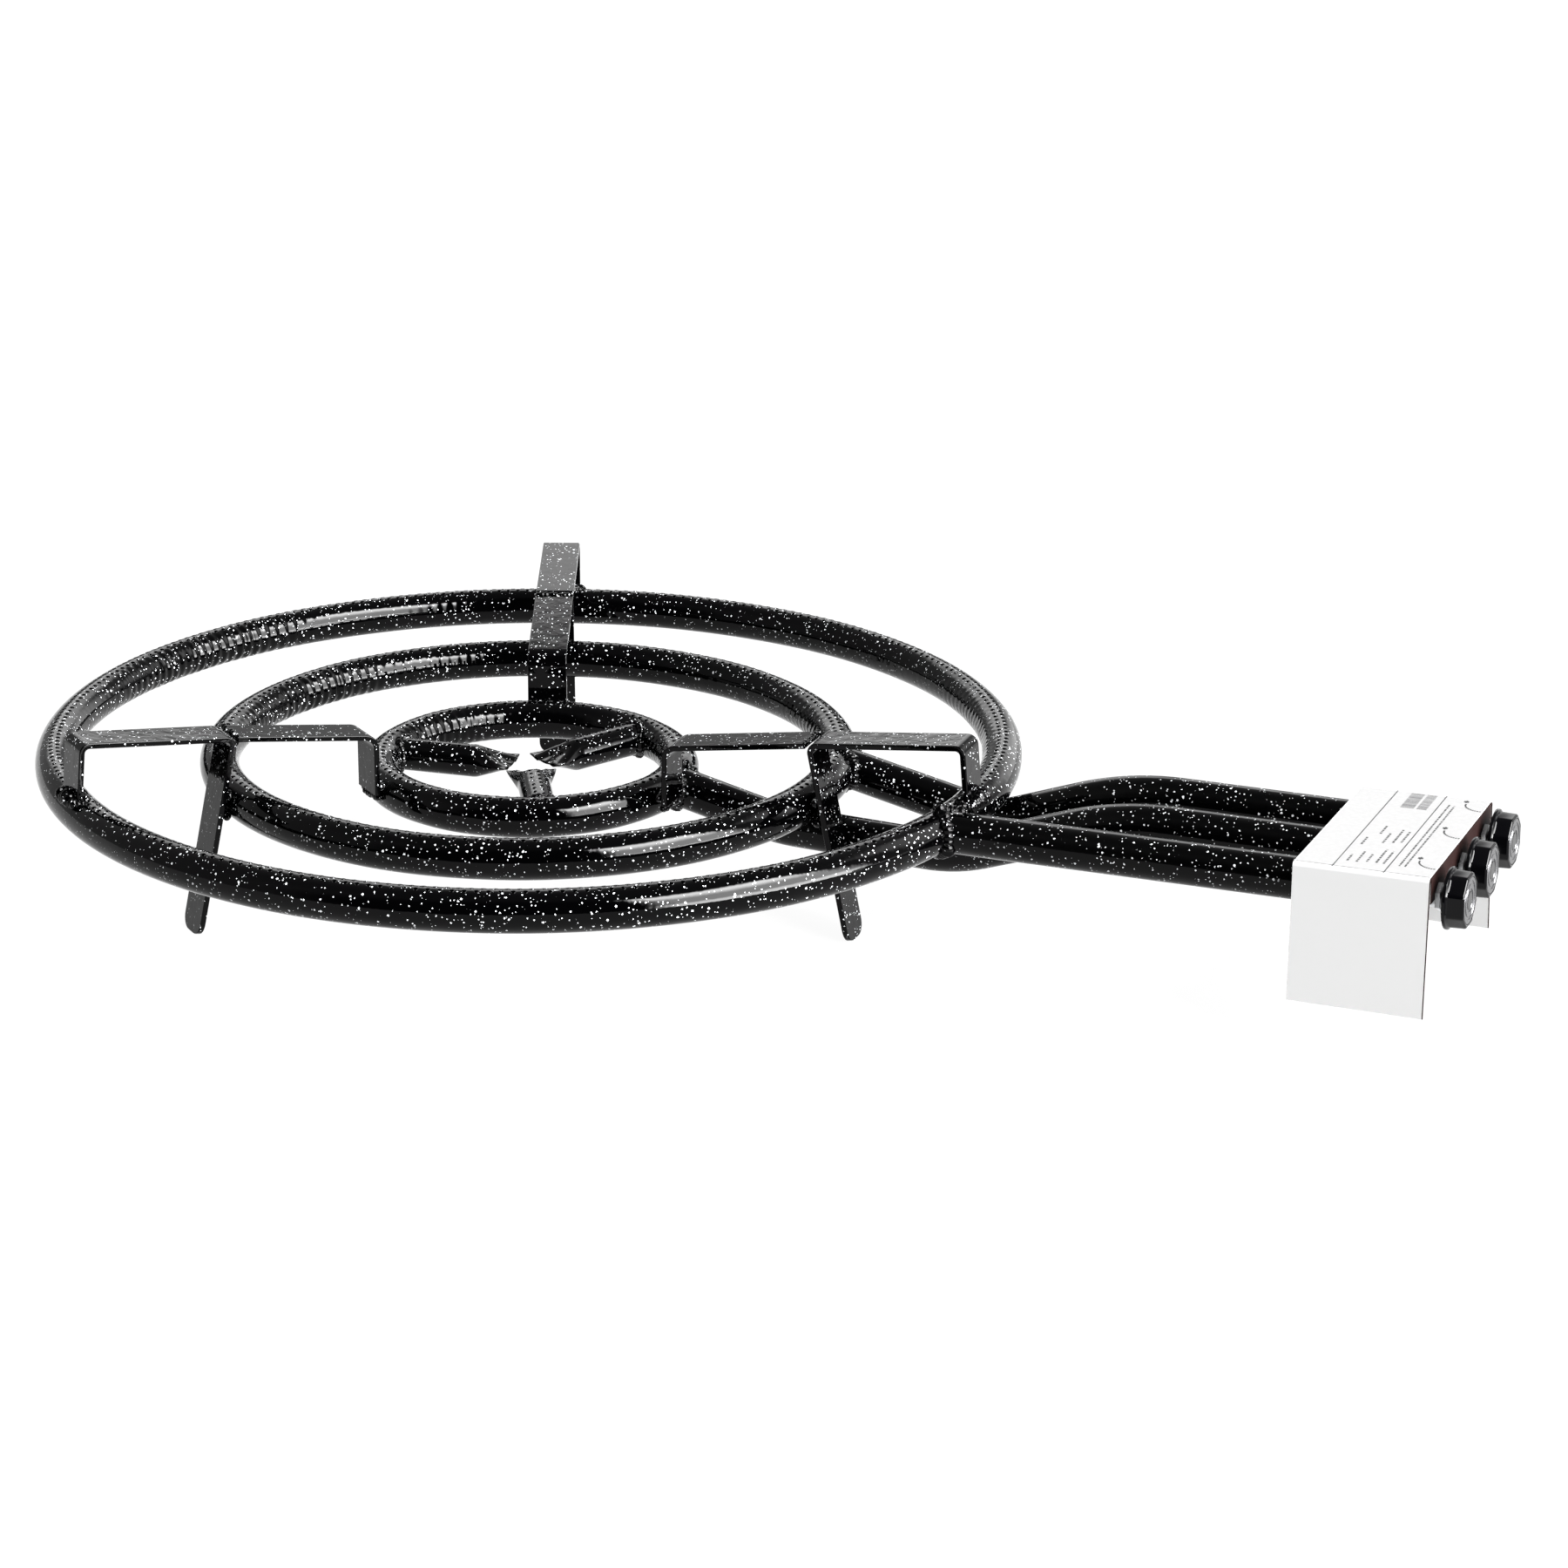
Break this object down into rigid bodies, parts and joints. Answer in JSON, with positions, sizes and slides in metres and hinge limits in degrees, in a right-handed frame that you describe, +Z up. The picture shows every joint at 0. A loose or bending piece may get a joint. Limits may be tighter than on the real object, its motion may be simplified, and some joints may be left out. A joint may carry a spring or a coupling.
{
  "type": "three-ring gas burner",
  "caption": "Low enamelled gas burner of concentric perforated rings on bent-bar pan supports, with feed tubes side by side in a handle and turn knobs under a sheet cover.",
  "frame": {"origin": "on the floor under the centre of the rings", "axes": "+X out along the handle to the knobs, +Z up"},
  "size_m": [0.8858, 0.6, 0.131],
  "materials": {
    "enamel": "glossy black vitreous enamel with fine white specks",
    "sheet": "bright plain sheet",
    "label": "printed film",
    "zinc": "zinc plated",
    "brass": "machined",
    "chrome": "bright plated",
    "knob": "glossy black"
  },
  "bodies": {
    "base": {"outer_ring": "enamel", "middle_ring": "enamel", "inner_ring": "enamel", "jet_1": "enamel", "jet_2": "enamel", "jet_3": "enamel", "outer_feed": "enamel", "inner_feed": "enamel", "middle_feed": "enamel", "support_1": "enamel", "support_2": "enamel", "support_3": "enamel", "support_arm_1": "enamel", "support_arm_2": "enamel", "support_arm_3": "enamel", "support_welds": "enamel", "cover": "sheet", "cover_label": "label", "cover_spacer": "zinc", "panel_nuts": "zinc", "manifold": "zinc", "manifold_plug": "brass", "inlet_nozzle": "brass", "mixer_1": "zinc", "mixer_2": "zinc", "mixer_3": "zinc", "injectors": "brass", "valve_body_1": "brass", "valve_body_2": "brass", "valve_body_3": "brass", "bonnet_1": "zinc", "bonnet_2": "zinc", "bonnet_3": "zinc"},
    "tap_plug_1": {"plug_1": "brass", "spring_1": "zinc"},
    "tap_knob_1": {"stem_1": "chrome", "knob_1": "knob", "knob_cap_1": "chrome"},
    "tap_plug_2": {"plug_2": "brass", "spring_2": "zinc"},
    "tap_knob_2": {"stem_2": "chrome", "knob_2": "knob", "knob_cap_2": "chrome"},
    "tap_plug_3": {"plug_3": "brass", "spring_3": "zinc"},
    "tap_knob_3": {"stem_3": "chrome", "knob_3": "knob", "knob_cap_3": "chrome"}
  },
  "joints": [
    {"name": "turn_1", "type": "hinge", "parent": "base", "child": "tap_plug_1", "pos_m": [0.57383, -0.039, 0.09498], "axis": [0.9994, 0, 0.0349], "range_deg": [0, 180]},
    {"name": "push_1", "type": "slide", "parent": "tap_plug_1", "child": "tap_knob_1", "axis": [-0.9994, 0, -0.0349], "range_m": [0, 0.0028], "stiffness_N_per_m": 800, "springref_m": -0.002, "deforming": ["spring_1"]},
    {"name": "turn_2", "type": "hinge", "parent": "base", "child": "tap_plug_2", "pos_m": [0.57383, 0.011, 0.09498], "axis": [0.9994, 0, 0.0349], "range_deg": [0, 180]},
    {"name": "push_2", "type": "slide", "parent": "tap_plug_2", "child": "tap_knob_2", "axis": [-0.9994, 0, -0.0349], "range_m": [0, 0.0028], "stiffness_N_per_m": 800, "springref_m": -0.002, "deforming": ["spring_2"]},
    {"name": "turn_3", "type": "hinge", "parent": "base", "child": "tap_plug_3", "pos_m": [0.57383, 0.061, 0.09498], "axis": [0.9994, 0, 0.0349], "range_deg": [0, 180]},
    {"name": "push_3", "type": "slide", "parent": "tap_plug_3", "child": "tap_knob_3", "axis": [-0.9994, 0, -0.0349], "range_m": [0, 0.0028], "stiffness_N_per_m": 800, "springref_m": -0.002, "deforming": ["spring_3"]}
  ]
}
